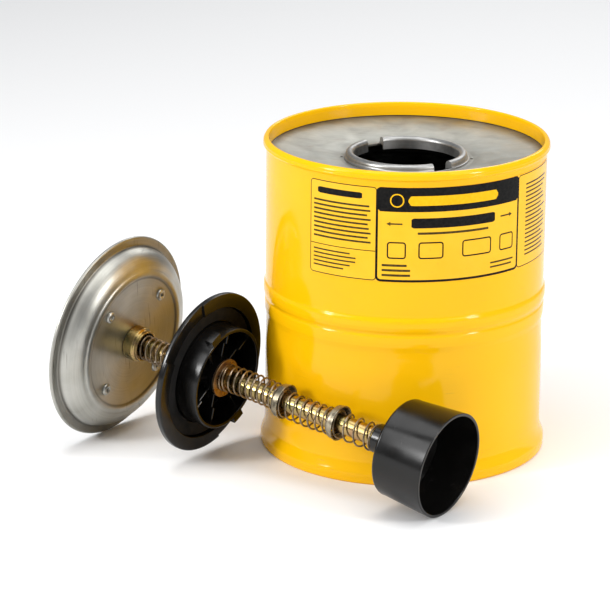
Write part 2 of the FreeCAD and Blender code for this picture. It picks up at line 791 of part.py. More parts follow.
pan = dasher_pan()
drill_for_rivets(pan, "pan_rivet")
screen = dasher_screen()
drill_for_rivets(screen, "screen_rivet")
across_tube = FreeCAD.Placement(
    FreeCAD.Vector(0, amount("pin_length") / 2, amount("pin_height")),
    FreeCAD.Rotation(FreeCAD.Vector(1, 0, 0), 90),
)
pump_pieces = [
    (foot_cup(), raised("0")),
    (pump_tube(), raised("0")),
    (pump_piston(), raised("0")),
    (check_ball(), raised("ball_height")),
    (ball_stop_pin(), across_tube),
    (coil_spring("spring_low", "spring_radius", "nose_top", "low_washer_top - washer_sheet",
                 "low_spring_turns"), raised("0")),
    (guide_washer("guide_washer_low", "low_washer_top"), raised("0")),
    (coil_spring("spring_middle", "spring_radius", "low_washer_top", "high_washer_top - washer_sheet",
                 "middle_spring_turns"), raised("0")),
    (guide_washer("guide_washer_high", "high_washer_top"), raised("0")),
    (coil_spring("spring_high", "spring_radius", "high_washer_top", "lid_washer_foot",
                 "high_spring_turns"), raised("0")),
    (ring("lid_washer", "free_bore", "lid_washer_radius", "lid_washer_foot", "lid_washer_top"), raised("0")),
    (lid(), raised("0")),
    (ring("lid_gasket", "gasket_inside", "gasket_outside", "gasket_foot", "lid_groove_ceiling"), raised("0")),
    (lid_bush(), raised("0")),
    (ring("seat_washer", "free_bore", "bush_flange_radius - 0.4", "bush_top", "seat_washer_top"), raised("0")),
    (coil_spring("upper_spring", "upper_spring_radius", "seat_washer_top", "hub_pocket_top",
                 "upper_spring_turns"), raised("0")),
    (hub_ferrule(), raised("0")),
    (pan, raised("0")),
    (ring("nut_washer", "tube_radius + 0.05", "nut_washer_radius", "pan_disc_height + pan_sheet",
          "nut_washer_top"), raised("0")),
    (outlet_nut(), raised("nut_washer_top")),
    (pan_rivets(), raised("0")),
    (pan_spacers(), raised("0")),
    (screen, raised("0")),
]

pieces = []
for frame, group in ((can_place, can_pieces), (pump_place, pump_pieces)):
    for piece, place in group:
        piece.Label = piece.Name
        piece.Placement = frame.multiply(place)
        pieces.append(piece)
doc.recompute()

for item in doc.Objects:
    if "Invalid" in item.State or "Error" in item.State:
        raise RuntimeError(f"{item.Name} failed: {item.State}")
for piece in pieces:
    if piece.Shape.isNull() or not piece.Shape.isValid():
        raise RuntimeError(f"{piece.Label} has no valid shape")

os.makedirs("parts", exist_ok=True)
whole = FreeCAD.BoundBox()
for piece in pieces:
    piece.Shape.exportStep(f"parts/{piece.Label}.step")
    whole.add(piece.Shape.BoundBox)
    print(f"{piece.Label:18s} solids {len(piece.Shape.Solids):2d} volume {piece.Shape.Volume:10.1f}")
print("pump placement", pump_place)
print("can placement", can_place)
print("box", whole)
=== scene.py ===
import json
import math
import random

import bpy
from mathutils import Matrix, Vector, noise


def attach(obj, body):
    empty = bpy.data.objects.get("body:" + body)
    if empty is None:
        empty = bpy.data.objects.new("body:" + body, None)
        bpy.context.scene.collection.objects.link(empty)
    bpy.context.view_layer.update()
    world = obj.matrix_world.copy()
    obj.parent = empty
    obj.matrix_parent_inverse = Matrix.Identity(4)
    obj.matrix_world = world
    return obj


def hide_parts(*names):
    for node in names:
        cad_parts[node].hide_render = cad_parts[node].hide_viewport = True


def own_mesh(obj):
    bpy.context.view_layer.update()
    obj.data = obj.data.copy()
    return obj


# A one gallon plunger can, with its pump lying beside it. Lengths are in millimetres until a mesh is
# made, and in metres in Blender. Outlines are (radius, height) about the can's or the pump's own axis.
# Heights on the pump are counted from the mouth of its cup, towards the pan.

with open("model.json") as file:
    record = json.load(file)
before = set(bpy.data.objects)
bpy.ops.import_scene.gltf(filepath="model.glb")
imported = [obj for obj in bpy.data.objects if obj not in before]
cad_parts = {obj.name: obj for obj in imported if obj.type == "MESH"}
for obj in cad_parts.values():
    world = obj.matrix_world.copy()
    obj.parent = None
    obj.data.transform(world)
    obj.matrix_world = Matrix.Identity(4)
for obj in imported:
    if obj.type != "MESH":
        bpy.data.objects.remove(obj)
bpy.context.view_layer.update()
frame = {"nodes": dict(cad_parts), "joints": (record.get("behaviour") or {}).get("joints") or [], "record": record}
joints = {joint["name"]: joint for joint in frame["joints"]}
mounts = {mount["name"]: mount for mount in frame["record"]["mounts"]}

MM = 0.001
FULL = 2 * math.pi

WALL = 90.1             # the can's side, outside
INNER_WALL = 89.32      # and inside
TUBE = 6.0              # the tube's outside
TUBE_HOLE = 6.1         # holes that the tube is fixed in
SLIDING_HOLE = 6.45     # holes that slide on the tube
COIL = 8.5              # the three foot springs, at the middle of their wire
NOSE_TOP = 54.0         # where the low spring stands on the cup
LOW_WASHER_TOP = 86.5
HIGH_WASHER_TOP = 129.0
WASHER_FACE = 1.0       # thickness of a guide washer's flat face
COLLAR_MOUTH = 171.0
COLLAR_WASHER = (172.6, 174.2)
LID_SEAT = 184.0
SEAT_WASHER = (198.0, 199.0)
HUB_SEAT = 244.0        # where the upper spring stands in the hub
PAN_UNDERSIDE = 248.5

can_x, can_y, _ = mounts["neck"]["pos_m"]
CAN = Matrix.Translation((can_x, can_y, 0))


def pump_matrix():
    """The pump's own frame: Z along its tube to the pan, X down, Y level, origin at the cup's mouth."""
    along = Vector(joints["lid_turn"]["axis"]).normalized()
    level = Vector((-along.y, along.x, 0)).normalized()
    down = level.cross(along)
    origin = Vector(joints["lid_turn"]["pos_m"]) - along * LID_SEAT * MM
    turn = Matrix((down, level, along)).transposed().to_4x4()
    return Matrix.Translation(origin) @ turn


PUMP = pump_matrix()


# ---------------------------------------------------------------- camera and light

def make_camera():
    """A long lens in front of the can and well above it, looking down by about 18 degrees."""
    yaw, pitch, roll = 0.03197, -0.30645, 0.00777
    distance, height = 2.01396, 0.72769
    ahead = Vector((-math.sin(yaw) * math.cos(pitch), math.cos(yaw) * math.cos(pitch), math.sin(pitch)))
    right = Vector((math.cos(yaw), math.sin(yaw), 0))
    up = right.cross(ahead)
    across = right * math.cos(roll) + up * math.sin(roll)
    upward = -right * math.sin(roll) + up * math.cos(roll)
    data = bpy.data.cameras.new("camera")
    data.lens = 191.4
    data.sensor_width = 36.0
    camera = bpy.data.objects.new("camera", data)
    turn = Matrix((across, upward, -ahead)).transposed().to_4x4()
    camera.matrix_world = Matrix.Translation((can_x, can_y - distance, height)) @ turn
    bpy.context.scene.collection.objects.link(camera)
    bpy.context.scene.camera = camera


def softbox(name, azimuth, elevation, distance, size, power):
    """A rectangular light that faces the set; azimuth 0 is on the camera's side and 90 on the right."""
    aim = Vector((0, 0, 0.1))
    turn = math.radians(azimuth)
    rise = math.radians(elevation)
    away = Vector((math.sin(turn) * math.cos(rise), -math.cos(turn) * math.cos(rise), math.sin(rise)))
    data = bpy.data.lights.new(name, "AREA")
    data.shape = "RECTANGLE"
    data.size, data.size_y = size
    data.energy = power
    light = bpy.data.objects.new(name, data)
    light.location = aim + away * distance
    light.rotation_mode = "QUATERNION"
    light.rotation_quaternion = (-away).to_track_quat("-Z", "Y")
    bpy.context.scene.collection.objects.link(light)


def make_studio():
    """Softboxes in front, overhead and behind, two small strobes, a pale world and a pale floor."""
    softbox("key_light", -60, 38, 1.7, (0.70, 0.95), 8)
    softbox("fill_light", 56, 38, 1.7, (0.70, 0.95), 4)
    softbox("key_strobe", -63, 22, 1.7, (0.22, 0.42), 13)
    softbox("fill_strobe", 60, 22, 1.7, (0.20, 0.42), 10)
    softbox("top_light", 10, 84, 1.6, (1.6, 1.2), 16)
    softbox("rim_light", 160, 35, 2.2, (1.2, 0.9), 10)
    world = bpy.data.worlds.new("studio")
    world.use_nodes = True
    backdrop = world.node_tree.nodes["Background"]
    backdrop.inputs["Color"].default_value = (0.95, 0.97, 1.0, 1)
    backdrop.inputs["Strength"].default_value = 0.34
    bpy.context.scene.world = world
    bpy.context.scene.view_settings.view_transform = "Standard"
    reach = 9.0
    corners = [(-reach, -reach, 0), (reach, -reach, 0), (reach, reach, 0), (-reach, reach, 0)]
    mesh = bpy.data.meshes.new("floor")
    mesh.from_pydata(corners, [], [(0, 1, 2, 3)])
    floor = bpy.data.objects.new("floor", mesh)
    bpy.context.scene.collection.objects.link(floor)
    paper = bpy.data.materials.new("paper")
    paper.use_nodes = True
    shader = paper.node_tree.nodes["Principled BSDF"]
    shader.inputs["Base Color"].default_value = (0.93, 0.93, 0.93, 1)
    shader.inputs["Roughness"].default_value = 0.75
    mesh.materials.append(paper)


# ---------------------------------------------------------------- materials

class Look:
    """A procedural material on one Principled shader."""

    def __init__(self, name, metallic=0.0, gloss=0.5):
        self.material = bpy.data.materials.new(name)
        self.material.use_nodes = True
        self.tree = self.material.node_tree
        self.shader = self.tree.nodes["Principled BSDF"]
        self.shader.inputs["Metallic"].default_value = metallic
        self.shader.inputs["Specular IOR Level"].default_value = gloss
        self.place = self.node("TexCoord").outputs["Object"]

    def node(self, kind, **settings):
        made = self.tree.nodes.new("ShaderNode" + kind)
        for key, value in settings.items():
            setattr(made, key, value)
        return made

    def link(self, source, target):
        self.tree.links.new(source, target)

    def stretched(self, scale, turn=(0, 0, 0), source=None):
        """Coordinates turned and scaled by different amounts along the three axes."""
        mapping = self.node("Mapping")
        mapping.inputs["Scale"].default_value = scale
        mapping.inputs["Rotation"].default_value = turn
        self.link(source or self.place, mapping.inputs["Vector"])
        return mapping.outputs["Vector"]

    def noise(self, scale, detail=4.0, distortion=0.0, source=None):
        made = self.node("TexNoise")
        made.inputs["Scale"].default_value = scale
        made.inputs["Detail"].default_value = detail
        made.inputs["Distortion"].default_value = distortion
        self.link(source or self.place, made.inputs["Vector"])
        return made.outputs["Fac"]

    def ramp(self, source, stops):
        """Colours or greys along a 0 to 1 value."""
        made = self.node("ValToRGB")
        elements = made.color_ramp.elements
        while len(elements) < len(stops):
            elements.new(0.5)
        for element, (spot, shade) in zip(elements, stops):
            element.position = spot
            element.color = (*shade, 1) if isinstance(shade, tuple) else (shade, shade, shade, 1)
        self.link(source, made.inputs["Fac"])
        return made.outputs["Color"]

    def mix(self, share, first, second):
        """The first colour, covered by the second where share is 1."""
        made = self.node("Mix", data_type="RGBA")
        for value, socket in ((share, made.inputs[0]), (first, made.inputs[6]), (second, made.inputs[7])):
            if isinstance(value, (int, float)):
                socket.default_value = value
            elif isinstance(value, tuple):
                socket.default_value = (*value, 1)
            else:
                self.link(value, socket)
        return made.outputs[2]

    def maths(self, operation, first, second):
        made = self.node("Math", operation=operation)
        for value, socket in ((first, made.inputs[0]), (second, made.inputs[1])):
            if isinstance(value, (int, float)):
                socket.default_value = value
            else:
                self.link(value, socket)
        return made.outputs[0]

    def scratches(self, scale, turn, cover=(0.5, 0.62)):
        """A mask of straight hairlines, in patches."""
        streaks = self.noise(1.0, 1.0, source=self.stretched(scale, turn))
        lines = self.ramp(streaks, [(0.66, 0.0), (0.72, 1.0)])
        patches = self.ramp(self.noise(55.0), [(cover[0], 0.0), (cover[1], 1.0)])
        return self.maths("MULTIPLY", lines, patches)

    def run(self):
        """The piece's own UV: share of a turn, and length along the outline in metres."""
        return self.node("UVMap").outputs["UV"]

    def from_axis(self, frame_matrix, radius):
        """Distance from an upright axis, as a share of a radius."""
        offset = self.node("VectorMath", operation="SUBTRACT")
        self.link(self.place, offset.inputs[0])
        offset.inputs[1].default_value = frame_matrix.translation
        flat = self.node("VectorMath", operation="MULTIPLY")
        self.link(offset.outputs[0], flat.inputs[0])
        flat.inputs[1].default_value = (1 / radius, 1 / radius, 0)
        length = self.node("VectorMath", operation="LENGTH")
        self.link(flat.outputs[0], length.inputs[0])
        return length.outputs["Value"]

    def finish(self, color, rough, bumps):
        """Links colour and roughness, and stacks the bumps, each a height and a depth in metres."""
        self.link(color, self.shader.inputs["Base Color"])
        self.link(rough, self.shader.inputs["Roughness"])
        normal = None
        for height, depth in bumps:
            bump = self.node("Bump")
            bump.inputs["Strength"].default_value = 1.0
            bump.inputs["Distance"].default_value = depth
            self.link(height, bump.inputs["Height"])
            if normal is not None:
                self.link(normal, bump.inputs["Normal"])
            normal = bump.outputs["Normal"]
        self.link(normal, self.shader.inputs["Normal"])
        return self.material


def yellow_paint():
    """Glossy enamel with a slight orange peel, rubs and a few fine scratches."""
    look = Look("yellow_enamel", gloss=0.22)
    tone = look.ramp(look.noise(9.0), [(0.3, (0.92, 0.47, 0.0020)), (0.7, (0.95, 0.51, 0.0030))])
    rubs = look.scratches((60, 30, 1500), (0.2, 0.5, 0.1), (0.52, 0.66))
    color = look.mix(look.maths("MULTIPLY", rubs, 0.35), tone, (0.62, 0.33, 0.02))
    grime = look.ramp(look.noise(26.0, 8.0), [(0.62, 0.0), (0.78, 0.16)])
    color = look.mix(grime, color, (0.72, 0.34, 0.01))
    rough = look.ramp(look.noise(38.0), [(0.3, 0.08), (0.7, 0.13)])
    return look.finish(color, rough, [(look.noise(420.0, 2.0), 0.000015), (rubs, -0.00002)])


def bare_steel(name="bare_steel", dark=(0.25, 0.245, 0.235), light=(0.46, 0.455, 0.44)):
    """Dull rolled sheet with mottling, drawn marks and faint brown stains."""
    look = Look(name, metallic=0.9)
    mottle = look.ramp(look.noise(46.0, 8.0, 0.6), [(0.32, dark), (0.66, light)])
    drawn = look.noise(1.0, 3.0, source=look.stretched((16, 520, 520), (0, 0, 0.35)))
    color = look.mix(look.ramp(drawn, [(0.35, 0.0), (0.75, 0.3)]), mottle, (0.60, 0.60, 0.585))
    stain = look.ramp(look.noise(21.0, 5.0, 1.2), [(0.60, 0.0), (0.75, 0.4)])
    color = look.mix(stain, color, (0.27, 0.17, 0.10))
    rough = look.ramp(look.noise(75.0, 6.0), [(0.3, 0.30), (0.7, 0.48)])
    return look.finish(color, rough, [(drawn, 0.00002), (look.noise(260.0, 5.0), 0.00003)])


def top_steel():
    """The can's bare top: mottled and stained brown, with painted shade darkening it towards the neck and in the
    chime's corner.
    """
    look = Look("top_steel", metallic=0.75)
    mottle = look.ramp(look.noise(60.0, 9.0, 0.8), [(0.3, (0.28, 0.285, 0.26)), (0.7, (0.40, 0.41, 0.38))])
    drawn = look.noise(1.0, 3.0, source=look.stretched((14, 420, 300), (0, 0, 0.5)))
    color = look.mix(look.ramp(drawn, [(0.4, 0.0), (0.8, 0.25)]), mottle, (0.50, 0.51, 0.48))
    # painted shade: the colour is darkened in a band at the foot of the neck and in the chime's corner
    reach = look.from_axis(CAN, 0.09)
    wobble = look.maths("ADD", reach, look.maths("MULTIPLY", look.noise(70.0, 6.0), 0.08))
    corner_shade = look.ramp(wobble, [(0.44, 0.85), (0.50, 0.25), (0.60, 0.0), (0.93, 0.0), (1.0, 0.7)])
    color = look.mix(corner_shade, color, (0.075, 0.058, 0.042))
    stain = look.ramp(look.noise(30.0, 6.0, 1.5), [(0.59, 0.0), (0.74, 0.4)])
    color = look.mix(stain, color, (0.25, 0.18, 0.12))
    rough = look.ramp(look.noise(90.0, 6.0), [(0.3, 0.34), (0.7, 0.55)])
    return look.finish(color, rough, [(look.noise(140.0, 6.0), 0.00006), (drawn, 0.00002)])


def spun_steel():
    """Spun zinc-plated steel: rings of fine marks, small rubs, patches of grime, and painted shade as dark lines
    in the pan's two steps.
    """
    look = Look("spun_steel", metallic=0.95)
    rings = look.noise(1.0, 3.0, source=look.stretched((3, 900, 1), source=look.run()))
    mottle = look.ramp(look.noise(34.0, 7.0, 0.5), [(0.3, (0.33, 0.325, 0.29)), (0.7, (0.47, 0.465, 0.43))])
    color = look.mix(look.ramp(rings, [(0.4, 0.0), (0.8, 0.3)]), mottle, (0.60, 0.60, 0.56))
    rubs = look.scratches((1600, 60, 50), (0.5, 0.2, 0.9), (0.50, 0.62))
    color = look.mix(look.maths("MULTIPLY", rubs, 0.6), color, (0.12, 0.11, 0.10))
    grime = look.ramp(look.noise(24.0, 8.0), [(0.55, 0.0), (0.78, 0.3)])
    color = look.mix(grime, color, (0.22, 0.19, 0.14))
    # painted shade: dark lines along the pan's two steps, placed by length along the outline
    split = look.node("SeparateXYZ")
    look.link(look.run(), split.inputs[0])
    decimetres = look.maths("MULTIPLY", split.outputs["Y"], 10.0)
    disc_step_shade = [(0.368, 0.0), (0.382, 0.75), (0.400, 0.0)]
    rim_step_shade = [(0.602, 0.0), (0.622, 0.85), (0.642, 0.4), (0.68, 0.3), (0.70, 0.0)]
    color = look.mix(look.ramp(decimetres, disc_step_shade + rim_step_shade), color, (0.07, 0.062, 0.05))
    rough = look.ramp(look.noise(64.0, 6.0), [(0.3, 0.33), (0.7, 0.44)])
    return look.finish(color, rough, [(rings, 0.00003), (rubs, -0.00003)])


def yellow_zinc(name, polish=0.0):
    """Yellow passivated steel or brass, with green and pink drifts in its gold."""
    look = Look(name, metallic=1.0)
    drift = look.noise(85.0, 5.0, 0.7)
    stops = [
        (0.30, (0.19, 0.18, 0.075)), (0.44, (0.32, 0.24, 0.09)),
        (0.56, (0.42, 0.30, 0.12)), (0.70, (0.38, 0.22, 0.13)),
    ]
    color = look.ramp(drift, stops)
    lines = look.noise(1.0, 3.0, source=look.stretched((4, 700, 1), source=look.run()))
    color = look.mix(look.ramp(lines, [(0.4, 0.0), (0.8, 0.35)]), color, (0.52, 0.40, 0.18))
    spots = look.ramp(look.noise(300.0, 4.0), [(0.62, 0.0), (0.72, 0.6)])
    color = look.mix(spots, color, (0.16, 0.12, 0.05))
    rough = look.ramp(look.noise(120.0, 5.0), [(0.3, 0.20 - polish), (0.7, 0.32 - polish)])
    return look.finish(color, rough, [(lines, 0.00002), (look.noise(500.0, 4.0), 0.00001)])


def spring_wire(name="spring_wire", dark=(0.11, 0.08, 0.05), light=(0.38, 0.30, 0.21)):
    """Oiled drawn wire, brown in places."""
    look = Look(name, metallic=0.95)
    color = look.ramp(look.noise(160.0, 6.0, 0.5), [(0.3, dark), (0.68, light)])
    rust = look.ramp(look.noise(420.0, 5.0), [(0.60, 0.0), (0.72, 0.5)])
    color = look.mix(rust, color, (0.20, 0.09, 0.035))
    rough = look.ramp(look.noise(230.0, 5.0), [(0.3, 0.22), (0.7, 0.42)])
    return look.finish(color, rough, [(look.noise(900.0, 4.0), 0.00001)])


def black_plastic():
    """Moulded black plastic, semi-gloss, with handling scratches and a little brown dust."""
    look = Look("moulded_black", gloss=0.36)
    deep, faded = (0.002, 0.0018, 0.0016), (0.005, 0.0046, 0.0042)
    tone = look.ramp(look.noise(28.0, 6.0), [(0.35, deep), (0.7, faded)])
    dust = look.ramp(look.noise(120.0, 9.0, 0.5), [(0.62, 0.0), (0.82, 0.14)])
    color = look.mix(dust, tone, (0.06, 0.045, 0.03))
    lines = look.scratches((1700, 70, 60), (0.3, 0.9, 0.4), (0.54, 0.68))
    finer = look.scratches((60, 2100, 80), (0.9, 0.2, 0.7), (0.54, 0.68))
    marks = look.maths("MAXIMUM", lines, finer)
    color = look.mix(look.maths("MULTIPLY", marks, 0.4), color, (0.035, 0.032, 0.03))
    rough = look.ramp(look.noise(70.0, 7.0), [(0.3, 0.17), (0.7, 0.27)])
    return look.finish(color, rough, [(look.noise(650.0, 3.0), 0.00001), (marks, -0.000008)])


def seal_rubber():
    """Matt rubber with a fine grain."""
    look = Look("seal_rubber", gloss=0.15)
    color = look.ramp(look.noise(90.0, 6.0), [(0.3, (0.004, 0.004, 0.004)), (0.7, (0.012, 0.011, 0.010))])
    rough = look.ramp(look.noise(150.0), [(0.3, 0.6), (0.7, 0.8)])
    return look.finish(color, rough, [(look.noise(1500.0, 3.0), 0.00003)])


def label_film():
    """Printed yellow film, a little warmer and duller than the enamel, with small rubbed spots."""
    look = Look("label_film", gloss=0.24)
    tone = look.ramp(look.noise(60.0, 6.0), [(0.3, (0.90, 0.48, 0.010)), (0.7, (0.93, 0.52, 0.018))])
    spots = look.ramp(look.noise(420.0, 5.0), [(0.66, 0.0), (0.74, 0.25)])
    color = look.mix(spots, tone, (0.55, 0.30, 0.02))
    rough = look.ramp(look.noise(110.0, 5.0), [(0.3, 0.14), (0.7, 0.22)])
    return look.finish(color, rough, [(look.noise(800.0, 3.0), 0.00001)])


def ink(name, low, high):
    """Printing ink with worn specks."""
    look = Look(name, gloss=0.08)
    color = look.ramp(look.noise(500.0, 6.0), [(0.35, low), (0.72, high)])
    rough = look.ramp(look.noise(140.0, 5.0), [(0.3, 0.14), (0.7, 0.24)])
    return look.finish(color, rough, [(look.noise(900.0, 3.0), 0.00001)])


# ---------------------------------------------------------------- mesh helpers

def through_arc(start, via, end, steps):
    """Points after start along the circle through three points."""
    (ax, ay), (bx, by), (cx, cy) = start, via, end
    cross = 2 * (ax * (by - cy) + bx * (cy - ay) + cx * (ay - by))
    squares = [x * x + y * y for x, y in (start, via, end)]
    ox = (squares[0] * (by - cy) + squares[1] * (cy - ay) + squares[2] * (ay - by)) / cross
    oy = (squares[0] * (cx - bx) + squares[1] * (ax - cx) + squares[2] * (bx - ax)) / cross
    radius = math.hypot(ax - ox, ay - oy)
    first = math.atan2(ay - oy, ax - ox)
    middle = (math.atan2(by - oy, bx - ox) - first) % FULL
    sweep = (math.atan2(cy - oy, cx - ox) - first) % FULL
    if middle > sweep:
        sweep -= FULL
    angles = [first + sweep * step / steps for step in range(1, steps + 1)]
    return [(ox + radius * math.cos(angle), oy + radius * math.sin(angle)) for angle in angles]


def outline(corners, fillet=0.3, arc_steps=8):
    """A closed outline with rounded corners. A corner is (r, z) or (r, z, (r, z) on the arc to it)."""
    count = len(corners)
    points = []
    for index, corner in enumerate(corners):
        spot = corner[:2]
        before = corners[index - 1][:2]
        following = corners[(index + 1) % count]
        if len(corner) == 3:
            points += through_arc(before, corner[2], spot, arc_steps)[:-1]
        on_axis = spot[0] == 0
        if on_axis or len(corner) == 3 or len(following) == 3:
            points.append(spot)
            continue
        ahead = following[:2]
        back_length = math.dist(spot, before)
        ahead_length = math.dist(spot, ahead)
        cut = min(fillet, 0.4 * back_length, 0.4 * ahead_length)
        enter = [spot[k] + (before[k] - spot[k]) * cut / back_length for k in (0, 1)]
        leave = [spot[k] + (ahead[k] - spot[k]) * cut / ahead_length for k in (0, 1)]
        for share in (0.0, 0.25, 0.5, 0.75, 1.0):
            first, second, third = (1 - share) ** 2, 2 * share * (1 - share), share ** 2
            points.append(tuple(first * enter[k] + second * spot[k] + third * leave[k] for k in (0, 1)))
    return points


def lathe_data(points, segments=160, start=0.0, angle=FULL, shape=None):
    """Vertices, faces and loop UVs of a closed outline turned about Z; shape moves each (r, z, angle)."""
    whole = abs(angle - FULL) < 1e-9
    rings = segments if whole else segments + 1
    count = len(points)
    run = [0.0]
    for index in range(count):
        run.append(run[-1] + math.dist(points[index], points[(index + 1) % count]))
    vertices = []
    for step in range(rings):
        turn = start + angle * step / segments
        for radius, height in points:
            if shape:
                radius, height = shape(radius, height, turn)
            vertices.append((radius * math.cos(turn), radius * math.sin(turn), height))
    faces = []
    uvs = []
    for step in range(segments):
        following = (step + 1) % rings
        for index in range(count):
            after = (index + 1) % count
            if points[index][0] == 0 and points[after][0] == 0:
                continue
            faces.append((
                step * count + index, following * count + index,
                following * count + after, step * count + after,
            ))
            left, right = step / segments, (step + 1) / segments
            low, high = run[index] * MM, run[index + 1] * MM
            uvs += [(left, low), (right, low), (right, high), (left, high)]
    if not whole:
        faces.append(tuple(range(count)))
        faces.append(tuple(reversed(range((rings - 1) * count, rings * count))))
        uvs += [(0, 0)] * (2 * count)
    return vertices, faces, uvs


def join_data(*groups):
    """Several groups of vertices, faces and UVs as one."""
    vertices, faces, uvs = [], [], []
    for group in groups:
        base = len(vertices)
        vertices += group[0]
        faces += [tuple(index + base for index in face) for face in group[1]]
        uvs += group[2]
    return vertices, faces, uvs


def moved(group, matrix):
    """A group of vertices, faces and UVs after a move in millimetres."""
    return [tuple(matrix @ Vector(v)) for v in group[0]], group[1], group[2]


def piece(name, group, place, body, material, nodes=(), crease=35):
    """A finished object from a group in millimetres: placed, shaded smooth and tied to its body."""
    mesh = bpy.data.meshes.new(name)
    mesh.from_pydata([tuple(place @ (Vector(v) * MM)) for v in group[0]], [], group[1])
    layer = mesh.uv_layers.new(name="UVMap")
    for loop, uv in zip(layer.data, group[2]):
        loop.uv = uv
    mesh.validate()
    mesh.shade_smooth()
    mesh.set_sharp_from_angle(angle=math.radians(crease))
    mesh.materials.append(material)
    made = bpy.data.objects.new(name, mesh)
    bpy.context.scene.collection.objects.link(made)
    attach(made, body)
    if nodes:
        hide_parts(*nodes)
    return made


def rounded_box(length, width, height, edge):
    """A box along X from 0, centred on Y, up from Z = 0, with its long top edges rounded."""
    half = width / 2
    section = [(-half, 0), (half, 0)]
    for middle, angles in ((half - edge, (0, 0.5, 1.05, 1.57)), (edge - half, (1.57, 2.09, 2.64, 3.14))):
        for angle in angles:
            section.append((middle + edge * math.cos(angle), height - edge + edge * math.sin(angle)))
    count = len(section)
    vertices = [(x, y, z) for x in (0, length) for y, z in section]
    faces = [(i, (i + 1) % count, count + (i + 1) % count, count + i) for i in range(count)]
    faces += [tuple(reversed(range(count))), tuple(range(count, 2 * count))]
    uvs = [(0, 0)] * sum(len(face) for face in faces)
    return vertices, faces, uvs


# ---------------------------------------------------------------- the can

def ripple(radius, height, turn):
    """Shallow dents and the folded side seam of the shell, in millimetres."""
    seam_angle, seam_half_width, seam_rise = 112.0, 2.0, 0.6
    spot = Vector((math.cos(turn) * 1.6, math.sin(turn) * 1.6, height / 45))
    shallow = 0.10 * noise.noise(spot) + 0.05 * noise.noise(spot * 3.1)
    fade = min(1.0, max(0.0, (height - 4) / 25), max(0.0, (200 - height) / 10))
    radius += shallow * fade
    side = abs(math.degrees(turn) - seam_angle) / seam_half_width
    outer_face = 15 < height < 199 and radius > 89.5
    if outer_face:
        radius += seam_rise * (1 - min(1.0, max(0.0, side - 0.8) / 0.5))
    return radius, height


def can_shell():
    """Painted shell: base chime, two beads and rolled top chime, with bare steel on its inner side, darkened as
    painted shade.
    """
    corners = [
        (INNER_WALL, 0.3), (91.9, 0.05), (92.9, 2.6, (92.6, 0.9)), (92.7, 7.0, (92.95, 4.8)),
        (90.3, 14.0, (91.3, 10.6)), (90.12, 20.0), (90.12, 66.0), (89.75, 77.0, (90.02, 71.5)),
        (89.72, 84.0), (89.85, 87.6), (90.0, 88.6), (90.55, 91.4), (90.7, 94.0), (90.68, 96.6),
        (90.56, 98.2), (90.22, 98.9), (90.12, 99.6), (90.3, 100.6), (91.0, 102.0), (91.4, 104.4),
        (91.38, 106.6), (91.2, 108.2), (90.8, 109.4), (90.3, 110.2), (90.12, 111.0),
        (WALL, 198.6), (90.35, 199.4), (91.1, 199.7), (91.85, 201.6, (91.75, 200.1)),
        (91.0, 204.3, (91.7, 203.3)), (89.6, 205.05, (90.4, 204.9)), (88.3, 204.2, (88.7, 204.9)),
        (88.03, 202.4), (88.03, 196.05), (INNER_WALL, 195.9),
    ]
    data = lathe_data(outline(corners, 0.35), 288, shape=ripple)
    shell = piece("shell_enamel", data, CAN, "can", yellow_paint(), ["can_shell"], 60)
    # painted shade: the shell's inner side gets a much darker copy of the bare steel, standing in for the shade
    # inside the can
    shell.data.materials.append(bare_steel("inner_steel_painted_shade", (0.03, 0.03, 0.028), (0.08, 0.078, 0.07)))
    for face in shell.data.polygons:
        middle = face.center - CAN.translation
        on_inner_side = math.hypot(middle.x, middle.y) < 0.0896 and 0.001 < middle.z < 0.1965
        if on_inner_side:
            face.material_index = 1


def strip(path, width, radius):
    """A flat ribbon of ink along a closed path of (arc length, height), wrapped on the can."""
    count = len(path)
    vertices, faces = [], []
    for index, (x, z) in enumerate(path):
        before = path[index - 1]
        after = path[(index + 1) % count]
        dx, dz = after[0] - before[0], after[1] - before[1]
        size = math.hypot(dx, dz) or 1
        for side in (-0.5, 0.5):
            vertices.append(wrapped(x - dz / size * width * side, z + dx / size * width * side, radius))
    for index in range(count):
        after = (index + 1) % count
        faces.append((2 * index, 2 * index + 1, 2 * after + 1, 2 * after))
    return vertices, faces, [(0, 0)] * (4 * len(faces))


def wrapped(along, height, radius):
    """A point on the can's side; along is an arc length from the front, to the right."""
    turn = along / WALL - math.pi / 2
    return (radius * math.cos(turn), radius * math.sin(turn), height)


def rounded_path(left, right, low, high, corner):
    """A rounded rectangle as a dense closed path."""
    corner = min(corner, (right - left) / 2, (high - low) / 2)
    path = []
    for x, z, first in (
        (right - corner, low + corner, -90), (right - corner, high - corner, 0),
        (left + corner, high - corner, 90), (left + corner, low + corner, 180),
    ):
        angles = [math.radians(first + 15 * k) for k in range(7)]
        path += [(x + corner * math.cos(angle), z + corner * math.sin(angle)) for angle in angles]
    dense = []
    for index, spot in enumerate(path):
        after = path[(index + 1) % len(path)]
        steps = max(1, int(math.dist(spot, after) / 2.5))
        dense += [
            (spot[0] + (after[0] - spot[0]) * k / steps, spot[1] + (after[1] - spot[1]) * k / steps)
            for k in range(steps)
        ]
    return dense


def bar(left, right, low, high, radius, corner=0.0):
    """A filled rounded rectangle of ink, wrapped on the can: columns of quads."""
    columns = max(2, int((right - left) / 1.5)) + 1
    vertices, faces = [], []
    for k in range(columns):
        x = left + (right - left) * k / (columns - 1)
        inset = 0.0
        edge = min(x - left, right - x)
        if corner and edge < corner:
            inset = corner - math.sqrt(max(0.0, corner ** 2 - (corner - edge) ** 2))
        vertices += [wrapped(x, low + inset, radius), wrapped(x, high - inset, radius)]
    for k in range(columns - 1):
        faces.append((2 * k, 2 * k + 2, 2 * k + 3, 2 * k + 1))
    return vertices, faces, [(0, 0)] * (4 * len(faces))


def arc_length(degrees):
    """Arc length on the can's side from the front to an angle, positive to the right."""
    return math.radians(degrees) * WALL


